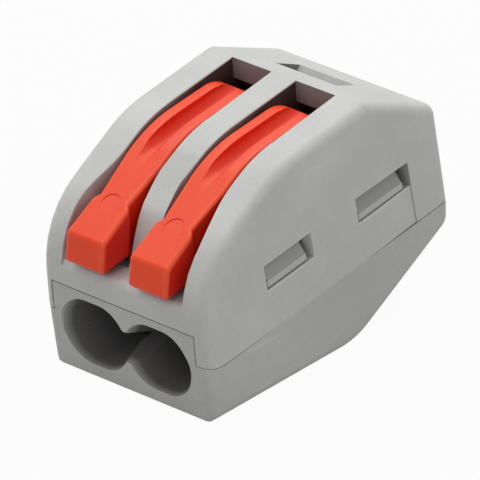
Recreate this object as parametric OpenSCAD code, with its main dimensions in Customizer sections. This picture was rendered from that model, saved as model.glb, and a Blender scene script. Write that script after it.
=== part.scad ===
// Two-pole lever wire connector. A moulded cover snaps onto a moulded base. Each pole
// has a cam lever hinged in the cover, a cage-clamp spring and its own wire entry, and
// one busbar joins the poles.
// Millimetres, +Z up, bottom face on Z = 0, wire entries facing -Y, origin under the
// middle of the bounding box. Lengths along Y are first measured from the front face.

/* [Poles] */
// Distance between the two wire axes
pole_pitch = 5.0; // [4.9:0.05:5.3]
// Width of a lever
lever_w = 2.89; // [2.75:0.01:2.95]
// Side gap between a lever and its slot
lever_gap = 0.12; // [0.08:0.01:0.16]
// Widening of a lever slot on each side of the pad
flare = 0.68; // [0.4:0.02:0.74]
// Distance from the front face to the start of the widening
flare_y = 5.2; // [4.8:0.1:5.4]
// Side wall beside a lever slot
side_wall = 2.28; // [2.2:0.02:2.5]
// Inside width of a pole chamber
chamber_w = 3.9; // [3.8:0.05:4.0]

/* [Housing profile] */
// Depth from the front face to the rear face
body_d = 20.75; // [20.6:0.05:21.5]
// Height of the crest above the bottom face
body_h = 14.6; // [14.4:0.02:14.9]
// Setback of the foot of the front face
front_lean = 0.34; // [0.1:0.02:0.5]
// Drop from the crest to where the front face would meet the slope of the lever pads
brow_drop = 5.08; // [4.98:0.02:5.2]
// Slope of the top beside the lever pads
pad_slope = 29.6; // [28.8:0.2:30.4]
// Slope of the top below the crest
crest_slope = 7.7; // [7.3:0.1:8.1]
// Distance of the crest from the front face
crest_y = 14.47; // [14.4:0.05:14.7]
// Distance from the crest to the rear wall of the lever slots
crest_bar = 0.28; // [0.26:0.02:0.34]
// Height of the rear end of the sloping rear facet
rear_top_z = 12.13; // [11.9:0.02:12.4]
// Setback of the rear end of the sloping rear facet
rear_lean = 0.65; // [0.5:0.05:0.75]
// Height where the rear face meets the rising underside
rear_low_z = 4.32; // [4.2:0.02:4.5]
// Distance from the front face to the start of the rising underside
heel_y = 12.5; // [12.3:0.05:12.8]
// Rounding along the side edges
edge_r = 0.65; // [0.4:0.05:0.7]
// Rounding along the foot of the front face
foot_r = 0.25; // [0.15:0.05:0.35]

/* [Parting line] */
// Angle between the parting plane and the bottom face
part_tilt = 7.4; // [7.1:0.05:7.6]
// Height of the parting plane at the front face
part_z = 3.15; // [3.05:0.02:3.25]
// Height of the base's front block
block_h = 5.59; // [5.53:0.02:5.67]
// Depth of the base's front block
block_d = 4.38; // [4.2:0.02:4.5]
// Thickness of the cover's skirts beside the front block
skirt_t = 0.76; // [0.65:0.01:0.85]
// Rounding of the lower front corner of a skirt
skirt_r = 2.7; // [2.4:0.05:3.0]
// Distance from the front face to the end of that rounding
skirt_run = 1.8; // [1.6:0.05:2.0]
// Gap of the snap tongues in their pockets
part_gap = 0.05; // [0.03:0.01:0.08]
// Gap along the parting line
seam_gap = 0.03; // [0.02:0.01:0.05]
// Gap round the front block
block_gap = 0.08; // [0.05:0.01:0.1]

/* [Walls] */
// Floor of the base
floor_t = 1.0; // [0.9:0.02:1.08]
// Apron below the lever pads
apron_t = 1.4; // [1.2:0.05:1.6]
// Gap between the apron's top edge and the lever tips
tip_gap = 0.25; // [0.15:0.05:0.35]
// Rounding of the apron's top edge
apron_r = 0.4; // [0.2:0.05:0.5]
// Distance from the front face to the foot of the centre rib's nose
rib_nose = 0.95; // [0.7:0.05:1.2]
// Distance from the front face to where the nose meets the slope of the pads
rib_run = 3.0; // [2.8:0.05:3.3]
// Steepness of the foot of the nose
rib_rake = 76; // [72:1:80]
// Rear wall
rear_wall = 2.05; // [1.9:0.05:2.2]
// Drop from the crest to the ceiling of the pole chambers
ceiling_drop = 3.73; // [3.65:0.02:3.8]

/* [Wire entries] */
// Height of the wire axis
wire_z = 3.02; // [2.98:0.01:3.06]
// Radius of the wire bore
wire_r = 1.9; // [1.7:0.05:1.95]
// Half height of the funnel mouth
mouth_r = 2.13; // [2.05:0.01:2.2]
// Sideways stretch of the funnel mouth
mouth_stretch = 0.5; // [0.4:0.02:0.55]
// Depth of the funnel
funnel_d = 1.9; // [1.6:0.05:2.1]
// Half height of the saddle between the two mouths
saddle_r = 1.02; // [0.8:0.02:1.04]
// Depth over which the opening between the two mouths closes
saddle_d = 2.9; // [2.6:0.1:3.1]
// Rounding of the web between the two mouths
web_r = 0.28; // [0.25:0.01:0.32]

/* [Snap windows] */
// Height of the window sill above the parting plane
win_sill = 2.55; // [2.4:0.05:2.7]
// Height of a window
win_h = 1.63; // [1.5:0.01:1.7]
// Start of the front window along the parting plane
win_front_y = 5.92; // [5.8:0.02:6.1]
// Length of the front window
win_front_w = 3.9; // [3.8:0.05:4.2]
// Distance of the rear window from the rear face
win_rear_in = 2.7; // [2.5:0.02:2.9]
// Length of the rear window
win_rear_w = 4.36; // [4.1:0.02:4.4]
// Outward slope of the front window's rear wall
win_flare = 0.3; // [0.1:0.05:0.35]
// Open length at the rear end of a window
win_void = 0.55; // [0.45:0.05:0.7]
// Gap between a hook and the bar below it
hook_gap = 0.09; // [0.05:0.01:0.12]
// Height of the upright lip of a hook
hook_lip = 0.45; // [0.3:0.05:0.6]
// Thickness of the bar below a window
bar_t = 0.7; // [0.6:0.05:0.75]
// Inset of the rear window's bar from the side face
bar_inset = 0.07; // [0.04:0.01:0.1]

/* [Test scoop] */
// Half length of the scoop on the rear facet
scoop_l = 2.4; // [1.8:0.1:2.6]
// Depth of its front step
scoop_h = 0.18; // [0.12:0.02:0.3]
// Distance of the step from the crest
scoop_y = 1.7; // [1.5:0.05:2.2]
// Width of the slit along the step
slit_w = 0.35; // [0.25:0.05:0.45]
// Depth of the slit
slit_d = 0.6; // [0.4:0.05:0.7]
// Run-out length of the scoop
scoop_run = 1.9; // [1.6:0.1:2.4]

/* [Levers] */
// Distance of the lever hinge from the front face
hinge_y = 11.74; // [11.7:0.01:11.8]
// Drop from the crest to the lever hinge
hinge_drop = 2.67; // [2.62:0.01:2.72]
// Radius of the lever hub
hub_r = 2.0; // [1.9:0.02:2.04]
// Radius of the lever trunnions
trunnion_r = 0.85; // [0.7:0.05:0.9]
// Reach of a trunnion into the wall
trunnion_l = 0.5; // [0.4:0.05:0.55]
// Running clearance around a trunnion
trunnion_gap = 0.05; // [0.03:0.01:0.08]
// Height of the pad above the slope of the walls
pad_rise = -0.05; // [-0.1:0.01:0.1]
// Drop of the lever's rear below the crest line
rear_drop = 0.14; // [0.08:0.01:0.2]
// Reach of the lever tip beyond the front face
tip_reach = 0.46; // [0.3:0.02:0.5]
// Setback of the pad's upper front edge from the tip
tip_lean = 0.36; // [0.2:0.02:0.5]
// Height of the front face of the tip
tip_h = 2.05; // [1.85:0.05:2.1]
// Widening of the pad on each side towards the tip
pad_flare = 0.07; // [0.04:0.01:0.08]
// Distance of the pad's rear shoulders from the front face
pad_end = 2.2; // [2.0:0.05:2.4]
// Step from the pad to the neck on each side
neck_step = 0.3; // [0.1:0.02:0.4]
// Radius of the moulded groove
groove_r = 0.62; // [0.5:0.02:0.7]
// Depth of the moulded groove
groove_d = 0.88; // [0.7:0.02:0.95]
// Extra slope of the groove's run-out
groove_tail = 7.5; // [6:0.5:9]
// Radius of the round moulding mark
mark_r = 0.66; // [0.5:0.02:0.75]
// Reach of the cam nose from the hinge
cam_reach = 3.0; // [2.8:0.02:3.04]
// Radius of the cam nose
cam_r = 0.8; // [0.7:0.02:0.85]
// Angle of the cam nose below the rear direction
cam_angle = 12; // [10:1:14]

/* [Contacts] */
// Thickness of the busbar
bus_t = 0.8; // [0.6:0.05:0.9]
// Underside of the busbar
bus_z = 4.77; // [4.73:0.02:4.87]
// Front edge of the busbar's cross piece
bus_y = 8.7; // [8.6:0.05:8.8]
// Width of the cross piece
bus_d = 4.8; // [4.4:0.1:5.0]
// Half width of a busbar tongue
tongue_hw = 0.95; // [0.8:0.05:1.0]
// Front end of the busbar tongues
tongue_y = 5.1; // [5.0:0.05:5.3]
// Thickness of the spring strip
strip_t = 0.4; // [0.3:0.02:0.44]
// Width of the spring strip
strip_w = 3.2; // [3.0:0.05:3.3]
// Front face of the clamping leg
clamp_y = 6.05; // [6.0:0.05:6.2]
// Height of the bar below the spring window
clamp_bar = 0.6; // [0.5:0.05:0.65]
// Inner radius of the front bend of the spring
clamp_r = 0.6; // [0.5:0.05:0.7]
// Gap between the spring loop and the rear wall
loop_gap = 0.97; // [0.8:0.05:1.2]
// Gap between parts that rest on each other
seat_gap = 0.02; // [0.01:0.01:0.03]

/* [Hidden] */
$fn = 64;

cover_grey = [0.78, 0.79, 0.78];
base_grey = [0.70, 0.71, 0.70];
lever_orange = [0.90, 0.30, 0.17];
steel = [0.72, 0.74, 0.76];
tin = [0.82, 0.80, 0.74];

pole_x = pole_pitch / 2;
slot_w = lever_w + 2 * lever_gap;
body_w = pole_pitch + slot_w + 2 * side_wall;
half_w = body_w / 2;
mid_y = (body_d - tip_reach) / 2;
brow_z = body_h - brow_drop;
ceiling_z = body_h - ceiling_drop;
hinge_z = body_h - hinge_drop;
tip_z = brow_z - tip_h;
apron_z = tip_z - tip_gap;
win_rear_y = body_d - win_rear_in - win_rear_w;
big = 40;

// Corners of the side profile, each with its height and rounding
bend_y = (body_h - tan(crest_slope) * crest_y - brow_z) / (tan(pad_slope) - tan(crest_slope));
bend_z = brow_z + tan(pad_slope) * bend_y;
bend_r = 8;
outline = [
    [front_lean, 0, foot_r],
    [0, part_z + 1, 3],
    [0, brow_z, 5.6],
    [bend_y, bend_z, bend_r],
    [crest_y, body_h, 0.6],
    [body_d - rear_lean, rear_top_z, 0.9],
    [body_d, rear_low_z + 1.35, 2],
    [body_d - 0.1, rear_low_z, 0.9],
    [heel_y, 0, 5]
];
heel_slope = atan(rear_low_z / (body_d - 0.1 - heel_y));
facet_slope = atan((body_h - rear_top_z) / (body_d - rear_lean - crest_y));

// Inside limits of the housing
chamber_out = pole_x + chamber_w / 2;
chamber_back = body_d - rear_wall;
snap_out = half_w - bar_t;
snap_in = chamber_out;
snap_top = win_sill + win_h + 0.2;

// Lever hinge and cam
hinge = [hinge_y, hinge_z];
seat_r = trunnion_r + trunnion_gap;
seat_l = trunnion_l + 0.05;
lever_flat = ceiling_z - 0.25;
cam = hinge + (cam_reach - cam_r) * [cos(cam_angle), -sin(cam_angle)];
pocket_y = hinge_y + cam_reach + 0.35;
pocket_z = hinge_z + 1.2;

// Spring strip
strip_top = lever_flat - 0.17;
leg_z = bus_z + bus_t + seat_gap;
loop_r = (strip_top - leg_z) / 2;
loop_z = leg_z + loop_r;
loop_y = chamber_back - loop_gap - loop_r;
clamp_top = strip_top - clamp_r - strip_t;

function unit(v) = v / norm(v);
function flat(p) = [p[0], p[1]];

// Centre of the circle of radius r that rounds corner q between p and s
function round_centre(p, q, s, r) =
    let (u = unit(p - q), v = unit(s - q), b = unit(u + v))
    q + b * r / sqrt(1 - pow(u * b, 2));

// Points of the arc that rounds corner q between p and s, drawn inset from the outline
function round_arc(p, q, s, r, n, inset) =
    let (
        u = unit(p - q),
        v = unit(s - q),
        c = round_centre(p, q, s, r),
        t = r / tan(acos(u * v) / 2),
        a = q + u * t - c,
        b = q + v * t - c
    )
    [for (i = [0:n]) c + (r - inset) * unit(a * (n - i) + b * i)];

// Corners [y, z, radius] turned into a closed outline, inset by a constant distance
function rounded(pts, n, inset = 0) = [
    for (i = [0:len(pts) - 1])
        let (
            p = flat(pts[(i + len(pts) - 1) % len(pts)]),
            q = flat(pts[i]),
            s = flat(pts[(i + 1) % len(pts)]),
            r = pts[i][2]
        )
        each r > 0 ? round_arc(p, q, s, max(r, inset + 0.2), n, inset) : [q]
];

// Places what is measured from the front face into the part's frame
module placed()
    translate([0, -mid_y, 0])
        children();

// Turns a drawing in the Y-Z plane into a slab between x0 and x1
module slab(x0, x1)
    translate([min(x0, x1), 0, 0])
        rotate([90, 0, 90])
            linear_extrude(abs(x1 - x0))
                children();

// Round bar along X
module bar_x(x0, x1, y, z, r)
    translate([x0, y, z])
        rotate([0, 90, 0])
            cylinder(r = r, h = x1 - x0);

// Box given by its two corners
module box(a, b)
    translate(a)
        cube(b - a);

// Frame whose X-Y plane is the parting plane
module on_parting()
    translate([0, 0, part_z])
        rotate([part_tilt, 0, 0])
            children();

// Both sides of the housing
module both_sides() {
    children();
    mirror([1, 0, 0])
        children();
}

// Both poles
module both_poles() {
    translate([-pole_x, 0, 0])
        children();
    translate([pole_x, 0, 0])
        children();
}

// Outer form of the closed housing: slices of the side profile that shrink round the edges
module shell()
    hull() {
        slab(edge_r - half_w, half_w - edge_r)
            polygon(rounded(outline, 6));
        for (s = [-1, 1])
            for (a = [22.5:22.5:90])
                let (x = s * (half_w - edge_r + edge_r * sin(a)))
                    slab(x - s * 0.01, x)
                        polygon(rounded(outline, 6, edge_r * (1 - cos(a))));
    }

// Everything below the parting line, with the rounded front corners of the skirts
module lower_zone() {
    on_parting()
        box([-big, -big, -big], [big, big, 0]);
    on_parting()
        difference() {
            box([-big, -big, -1], [big, skirt_run, skirt_r]);
            bar_x(-big, big, skirt_run, skirt_r, skirt_r);
        }
}

// Front block that the base sends up between the cover's skirts
module front_block(grow)
    box([-half_w + skirt_t - grow, -1, -1], [half_w - skirt_t + grow, block_d + grow, block_h + grow]);

// Snap tongue with its hook, on the parting plane, for one window
module snap(y, w) {
    box([snap_in, y, -1.2], [snap_out - part_gap, y + w - win_void, snap_top]);
    translate([0, y + w - win_void, win_sill + hook_gap])
        rotate([90, 0, 0])
            linear_extrude(w - win_void)
                polygon([
                    [snap_out - 0.3, 0],
                    [half_w - 0.1, 0],
                    [half_w - 0.1, hook_lip],
                    [snap_out - part_gap, win_h - hook_gap - 0.05],
                    [snap_out - 0.3, win_h - hook_gap - 0.05]
                ]);
}

// Window and tongue pocket cut into the cover for one snap, the rear wall sloping outward
module snap_cut(y, w, slope) {
    box([snap_in - 0.2, y - part_gap, -2], [snap_out, y + w - slope, snap_top + 0.1]);
    translate([0, 0, win_sill])
        linear_extrude(win_h)
            polygon([
                [snap_out - 0.3, y - part_gap],
                [half_w + 1, y - part_gap],
                [half_w + 1, y + w],
                [half_w, y + w],
                [snap_out, y + w - slope],
                [snap_out - 0.3, y + w - slope]
            ]);
}

// Wedge that insets the bar below a window toward its rear end
module bar_cut(y, w)
    translate([0, 0, -1])
        linear_extrude(win_sill + 1.1)
            polygon([
                [half_w, y - part_gap],
                [half_w - bar_inset, y + w],
                [half_w + 1, y + w],
                [half_w + 1, y - part_gap]
            ]);

// Scoop cut into the rear facet, with a slit along its step
module scoop()
    translate([0, crest_y, body_h])
        rotate([-facet_slope, 0, 0]) {
            box([-scoop_l, scoop_y, -slit_d], [scoop_l, scoop_y + slit_w, 1]);
            translate([0, scoop_y - 0.01, -scoop_h])
                rotate([90 - atan(scoop_h / scoop_run), 0, 180])
                    linear_extrude(scoop_run * 1.5)
                        polygon([
                            [0.25 - scoop_l, 0],
                            [scoop_l - 0.25, 0],
                            [scoop_l + 0.25, scoop_h * 2],
                            [-scoop_l - 0.25, scoop_h * 2]
                        ]);
        }

// Cover: crest, side walls, centre rib, apron and skirts in one moulding
module cover()
    color(cover_grey)
        placed()
            difference() {
                shell();
                translate([0, 0, seam_gap])
                    lower_zone();
                front_block(block_gap);
                both_poles()
                    cover_pole();
                rib_front();
                both_sides()
                    on_parting()
                        union() {
                            snap_cut(win_front_y, win_front_w, win_flare);
                            snap_cut(win_rear_y, win_rear_w, 0);
                            bar_cut(win_rear_y, win_rear_w);
                        }
                box([-pole_x, bus_y - 0.1, -1], [pole_x, bus_y + bus_d + 0.1, bus_z + bus_t + part_gap]);
                scoop();
            }

// Rounded top edge of the apron, and the plan of one side of a lever slot
apron_edge = concat([[-2, apron_z - apron_r]], [
    for (a = [180:-15:90])
        [0.1 + apron_r, apron_z - apron_r] + apron_r * [cos(a), sin(a)]
]);
slot_side = [
    for (t = [0:0.125:1])
        [slot_w / 2 + flare * (1 - t * t * (3 - 2 * t)), flare_y - 3.8 * (1 - t)]
];

// Plan of a lever slot, widened beside the pad
module slot_plan()
    linear_extrude(big)
        polygon(concat(
            [[slot_w / 2 + flare, -2]],
            slot_side,
            [[slot_w / 2, big], [-slot_w / 2, big]],
            [for (i = [len(slot_side) - 1:-1:0]) [-slot_side[i][0], slot_side[i][1]]],
            [[-slot_w / 2 - flare, -2]]
        ));

// Curve of the centre rib's nose, from its foot on the apron to the slope of the pads
rib_top = [rib_run, brow_z + rib_run * tan(pad_slope) + 0.03];
rib_bend_y = (rib_top[1] - apron_z + rib_nose * tan(rib_rake) - rib_run * tan(pad_slope))
    / (tan(rib_rake) - tan(pad_slope));
rib_bend = [rib_bend_y, apron_z + (rib_bend_y - rib_nose) * tan(rib_rake)];
rib_curve = [
    for (t = [0:0.125:1])
        (1 - t) * (1 - t) * [rib_nose, apron_z] + 2 * t * (1 - t) * rib_bend + t * t * rib_top
];

// What is cut in front of the nose of the centre rib
module rib_front()
    slab(-pole_x, pole_x)
        polygon(concat(apron_edge, rib_curve, [
            [rib_run, body_h],
            [-2, body_h]
        ]));

// What one pole cuts from the cover: chamber, lever slot, cam pocket and hinge seats
module cover_pole() {
    slab(-chamber_w / 2, chamber_w / 2)
        polygon([
            [apron_t, -1],
            [chamber_back, -1],
            [chamber_back, ceiling_z],
            [bend_y - 1, ceiling_z],
            [apron_t, apron_z + 0.3]
        ]);
    intersection() {
        slab(-pole_x, pole_x)
            polygon(concat(apron_edge, [
                [crest_y - crest_bar, apron_z],
                [crest_y - crest_bar, body_h + 2],
                [-2, body_h + 2]
            ]));
        slot_plan();
    }
    box([-slot_w / 2, hinge_y - 3, apron_z], [slot_w / 2, pocket_y, pocket_z]);
    bar_x(-slot_w / 2 - seat_l, slot_w / 2 + seat_l, hinge_y, hinge_z, seat_r);
    box([-slot_w / 2 - seat_l, hinge_y - seat_r, ceiling_z - 1], [slot_w / 2 + seat_l, hinge_y + seat_r, hinge_z]);
}

// Base: tray with the wire entries, the busbar rests and the snap tongues
module base()
    color(base_grey)
        placed()
            difference() {
                union() {
                    intersection() {
                        shell();
                        union() {
                            lower_zone();
                            front_block(0);
                        }
                    }
                    both_sides()
                        on_parting()
                            union() {
                                snap(win_front_y, win_front_w);
                                snap(win_rear_y, win_rear_w);
                            }
                    box([-0.5, bus_y, part_z], [0.5, bus_y + bus_d, bus_z - seat_gap]);
                    both_poles()
                        bus_posts();
                }
                both_poles()
                    base_pole();
                box([-pole_x, bus_y - 0.1, bus_z - seat_gap], [pole_x, bus_y + bus_d + 0.1, bus_z + bus_t]);
                hull() {
                    bar_x(-pole_x / 2, pole_x / 2, 0, wire_z, saddle_r);
                    bar_x(-pole_x / 2, pole_x / 2, saddle_d, wire_z, saddle_r / 3);
                }
                translate([0, 0.12, wire_z])
                    rotate([90, 0, 0])
                        linear_extrude(1)
                            mouths();
            }

// Outline of both funnel mouths with the rounded web between them
module mouths()
    offset(r = -web_r)
        offset(r = web_r)
            both_poles()
                both_sides() {
                    translate([mouth_stretch, 0])
                        circle(r = mouth_r);
                    translate([-0.01, -mouth_r])
                        square([mouth_stretch + 0.01, 2 * mouth_r]);
                }

// What one pole cuts from the base: wire funnel, wire bore and chamber
module base_pole() {
    hull() {
        for (s = [-1, 1])
            translate([s * mouth_stretch, -0.01, wire_z])
                rotate([-90, 0, 0])
                    cylinder(r = mouth_r, h = 0.01, $fn = 48);
        translate([0, funnel_d, wire_z])
            rotate([-90, 0, 0])
                cylinder(r = wire_r, h = 0.01, $fn = 48);
    }
    translate([0, funnel_d - 0.3, wire_z])
        rotate([-90, 0, 0])
            cylinder(r = wire_r, h = block_d);
    difference() {
        slab(-chamber_w / 2, chamber_w / 2)
            polygon([
                [block_d, floor_t],
                [heel_y - 0.3, floor_t],
                [chamber_back, floor_t + 0.3 + tan(heel_slope) * (chamber_back - heel_y)],
                [chamber_back, part_z + big],
                [block_d, part_z + big]
            ]);
        bus_posts();
    }
}

// Posts beside the wire path that carry the ends of the busbar
post_in = chamber_w / 2 - 0.65;
post_back = bus_y + bus_d - 0.8;

module bus_posts()
    both_sides()
        union() {
            box([post_in, bus_y + 0.8, 0.3], [chamber_w / 2 + 0.1, post_back, bus_z - 0.6]);
            box([post_in, bus_y + 0.8, 0.3], [chamber_w / 2 - part_gap, post_back, bus_z - seat_gap]);
        }

// Side profile of a lever from its tip to its hub
lever_top = brow_z + pad_rise;
knee_y = (body_h - rear_drop - tan(crest_slope) * crest_y - lever_top) / (tan(pad_slope) - tan(crest_slope));
knee_z = lever_top + tan(pad_slope) * knee_y;
hub_top = hinge + hub_r * [-sin(crest_slope), cos(crest_slope)];
lever_outline = [
    [-tip_reach, tip_z, 0.3],
    [tip_lean - tip_reach, lever_top + tan(pad_slope) * (tip_lean - tip_reach), 0.4],
    [knee_y, knee_z, bend_r],
    [hub_top[0], hub_top[1], 0],
    [hinge_y, hinge_z, 0],
    [hinge_y, lever_flat, 0],
    [clamp_y - 0.4, lever_flat, 0.6],
    [clamp_y - 1.8, lever_flat - 1.1, 0.6],
    [pad_end + 0.5, tip_z + 0.37, 0.3]
];

// Lever with its trunnions, cam nose, groove and moulding mark, on one pole axis
module lever() {
    difference() {
        union() {
            intersection() {
                slab(-lever_w / 2 - pad_flare, lever_w / 2 + pad_flare)
                    polygon(rounded(lever_outline, 6));
                translate([0, 0, -1])
                    linear_extrude(big)
                        polygon([
                            [-lever_w / 2 - pad_flare, -tip_reach],
                            [lever_w / 2 + pad_flare, -tip_reach],
                            [lever_w / 2, pad_end],
                            [lever_w / 2 - neck_step, pad_end + neck_step],
                            [lever_w / 2, pad_end + 3],
                            [lever_w / 2, big],
                            [-lever_w / 2, big],
                            [-lever_w / 2, pad_end + 3],
                            [-lever_w / 2 + neck_step, pad_end + neck_step],
                            [-lever_w / 2, pad_end]
                        ]);
            }
            lever_hub();
            bar_x(-slot_w / 2 - trunnion_l, slot_w / 2 + trunnion_l, hinge_y, hinge_z, trunnion_r);
        }
        lever_groove();
        lever_mark();
    }
}

// Hub and cam nose, cut flat above the spring
module lever_hub()
    difference() {
        union() {
            bar_x(-lever_w / 2, lever_w / 2, hinge_y, hinge_z, hub_r);
            bar_x(-lever_w / 2, lever_w / 2, cam[0], cam[1], cam_r);
            slab(-lever_w / 2, lever_w / 2)
                polygon([hinge, hinge + hub_r * tangent(1), cam + cam_r * tangent(1),
                    cam + cam_r * tangent(-1), hinge + hub_r * tangent(-1)]);
        }
        box([-lever_w, -big, -big], [lever_w, big, lever_flat]);
    }

// Direction from the hinge to the point where a common tangent touches the hub and the cam nose
cam_spread = acos((hub_r - cam_r) / (cam_reach - cam_r));
function tangent(s) = [cos(s * cam_spread - cam_angle), sin(s * cam_spread - cam_angle)];

// Radius of the groove's run-out
tail_r = groove_r * 0.92;

// Groove that opens at the rear of the lever and runs out on the pad slope
module lever_groove()
    translate([0, knee_y, knee_z])
        rotate([crest_slope, 0, 0])
            union() {
                translate([0, -4, groove_r - groove_d])
                    rotate([-90, 0, 0])
                        cylinder(r = groove_r, h = 4 + hinge_y + hub_r + 0.5 - knee_y);
                box([-groove_r, -4, groove_r - groove_d], [groove_r, hinge_y + hub_r + 0.5 - knee_y, 2]);
                translate([0, -1, tail_r - groove_d + 0.01])
                    rotate([groove_tail, 0, 0]) {
                        rotate([90, 0, 0])
                            cylinder(r = tail_r, h = 3);
                        box([-tail_r, -3, 0], [tail_r, 0, 2]);
                    }
            }

// Round mark on the pad, slightly sunk toward its rear
module lever_mark()
    translate([0, pad_end - 0.05, lever_top + tan(pad_slope) * (pad_end - 0.05)])
        rotate([pad_slope - 1.4, 0, 0])
            translate([0, 0, -0.035])
                cylinder(r = mark_r, h = 1);

module lever_left()
    color(lever_orange)
        placed()
            translate([-pole_x, 0, 0])
                lever();

module lever_right()
    color(lever_orange)
        placed()
            translate([pole_x, 0, 0])
                lever();

// Cage-clamp spring: leg on the busbar, loop, upper leg, and clamping leg with a window
module clamp_spring()
    difference() {
        union() {
            box([-strip_w / 2, clamp_y + 1.2, leg_z], [strip_w / 2, loop_y, leg_z + strip_t]);
            difference() {
                bar_x(-strip_w / 2, strip_w / 2, loop_y, loop_z, loop_r);
                bar_x(-strip_w, strip_w, loop_y, loop_z, loop_r - strip_t);
                box([-strip_w, loop_y - big, -big], [strip_w, loop_y, big]);
            }
            box([-strip_w / 2, clamp_y + clamp_r + strip_t, strip_top - strip_t], [strip_w / 2, loop_y, strip_top]);
            intersection() {
                difference() {
                    bar_x(-strip_w / 2, strip_w / 2, clamp_y + clamp_r + strip_t, clamp_top, clamp_r + strip_t);
                    bar_x(-strip_w, strip_w, clamp_y + clamp_r + strip_t, clamp_top, clamp_r);
                }
                box([-strip_w, clamp_y - 1, clamp_top], [strip_w, clamp_y + clamp_r + strip_t, strip_top + 1]);
            }
            box([-strip_w / 2, clamp_y, bus_z - seat_gap - clamp_bar], [strip_w / 2, clamp_y + strip_t, clamp_top]);
        }
        box([-tongue_hw - 0.1, clamp_y - 1, bus_z - seat_gap],
            [tongue_hw + 0.1, clamp_y + strip_t + 0.2, leg_z + 1.6]);
    }

module clamp_spring_left()
    color(steel)
        placed()
            translate([-pole_x, 0, 0])
                clamp_spring();

module clamp_spring_right()
    color(steel)
        placed()
            translate([pole_x, 0, 0])
                clamp_spring();

// Busbar: cross piece with one tongue for each pole
module busbar()
    color(tin)
        placed()
            union() {
                box([-chamber_out + 0.15, bus_y, bus_z], [chamber_out - 0.15, bus_y + bus_d, bus_z + bus_t]);
                both_poles()
                    box([-tongue_hw, tongue_y, bus_z], [tongue_hw, bus_y + 0.1, bus_z + bus_t]);
            }

cover();
base();
lever_left();
lever_right();
clamp_spring_left();
clamp_spring_right();
busbar();
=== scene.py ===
"""Looks of a two-pole lever wire connector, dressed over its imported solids."""

import logging
import math
from collections.abc import Callable, Iterator
from contextlib import contextmanager
from dataclasses import dataclass
from enum import Enum

import bmesh
import bpy
from mathutils import Matrix, Vector
from mathutils.bvhtree import BVHTree


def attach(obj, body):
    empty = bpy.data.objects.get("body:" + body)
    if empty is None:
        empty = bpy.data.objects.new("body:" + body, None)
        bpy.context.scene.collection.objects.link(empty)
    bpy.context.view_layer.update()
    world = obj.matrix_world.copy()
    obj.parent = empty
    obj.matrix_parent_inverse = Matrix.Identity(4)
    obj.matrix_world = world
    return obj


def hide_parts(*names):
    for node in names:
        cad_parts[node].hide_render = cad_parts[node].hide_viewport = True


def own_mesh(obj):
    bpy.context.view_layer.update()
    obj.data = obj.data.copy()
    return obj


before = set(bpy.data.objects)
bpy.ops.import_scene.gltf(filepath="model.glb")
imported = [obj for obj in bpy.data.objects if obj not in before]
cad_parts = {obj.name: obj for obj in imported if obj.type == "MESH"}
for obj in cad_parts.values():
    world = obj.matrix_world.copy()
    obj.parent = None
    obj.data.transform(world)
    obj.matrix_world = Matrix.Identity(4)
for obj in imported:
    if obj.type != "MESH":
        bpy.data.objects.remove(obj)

log = logging.getLogger("lever_connector")

Colour = tuple[float, float, float, float]
Place = tuple[float, float, float]
Piece = bpy.types.Object
Material = bpy.types.Material
Node = bpy.types.Node
NodeTree = bpy.types.NodeTree
Socket = bpy.types.NodeSocket
Edge = bmesh.types.BMEdge
Face = bmesh.types.BMFace
EdgeTest = Callable[[Edge], bool]

MM = 0.001
WHITE: Colour = (1.0, 1.0, 1.0, 1.0)

# Names of the marks that the faces carry into the materials.
# The first marks rounded edges for a lighter colour, partly wear and partly painted highlight.
EDGE_WEAR_AND_HIGHLIGHT = "edge_wear_and_highlight"
# The second holds the share of open space that other faces cover, which sets painted shade.
PAINTED_SHADE = "painted_shade_cover"

# Points closer than the first value are one point, and edges under the second shrink to one.
SAME_POINT = 0.004 * MM
SHORT_EDGE = 0.028 * MM
# Two places this close are the same place of the design.
SAME_PLACE = 0.005 * MM
# Faces that differ by less than this are one flat face.
FLAT_ANGLE = math.radians(0.4)
# Edges sharper than this count as corners, for the rounding and for the shading.
CORNER_ANGLE = math.radians(38)

# Steps of a rounded edge, and the room it needs on a face, in widths of the rounding: on a
# face of its own, and on one with a rounded edge on the other side too.
ROUND_STEPS = 3
ROOM_ALONE = 1.25
ROOM_SHARED = 2.3
# A distance across a face that is smaller than this is no distance.
NO_DISTANCE = 1e-7

# Rays that feel for cover start this far off an edge or a face.
OFF_EDGE = 0.02 * MM
OFF_FACE = 0.01 * MM
# Nothing farther away covers an edge, or a face.
EDGE_REACH = 30 * MM
FACE_REACH = 12 * MM
FAN_RAYS = 40


def tone(red: int, green: int, blue: int) -> Colour:
    """Turns a display colour into the linear colour that a shader reads.

    Args:
        red: Red from 0 to 255.
        green: Green from 0 to 255.
        blue: Blue from 0 to 255.

    Returns:
        The linear colour with full alpha.
    """
    def linear(level: int) -> float:
        """Undoes the display curve of one channel."""
        share = level / 255
        return share / 12.92 if share <= 0.04045 else ((share + 0.055) / 1.055) ** 2.4

    return (linear(red), linear(green), linear(blue), 1.0)


class Side(Enum):
    """The two poles, with the sign of their place across the housing."""

    LEFT = -1
    RIGHT = 1

    @property
    def word(self) -> str:
        """The side's name as the solids spell it."""
        return self.name.lower()


class Lay(Enum):
    """Direction in which a rolled strip shows its lines, as the stretch of its pattern."""

    ALONG = (1.0, 0.06, 1.0)
    ACROSS = (0.06, 1.0, 1.0)


class Pick(Enum):
    """Kind of element that is selected in edit mode."""

    POINTS = "VERT"
    EDGES = "EDGE"
    FACES = "FACE"


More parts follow.
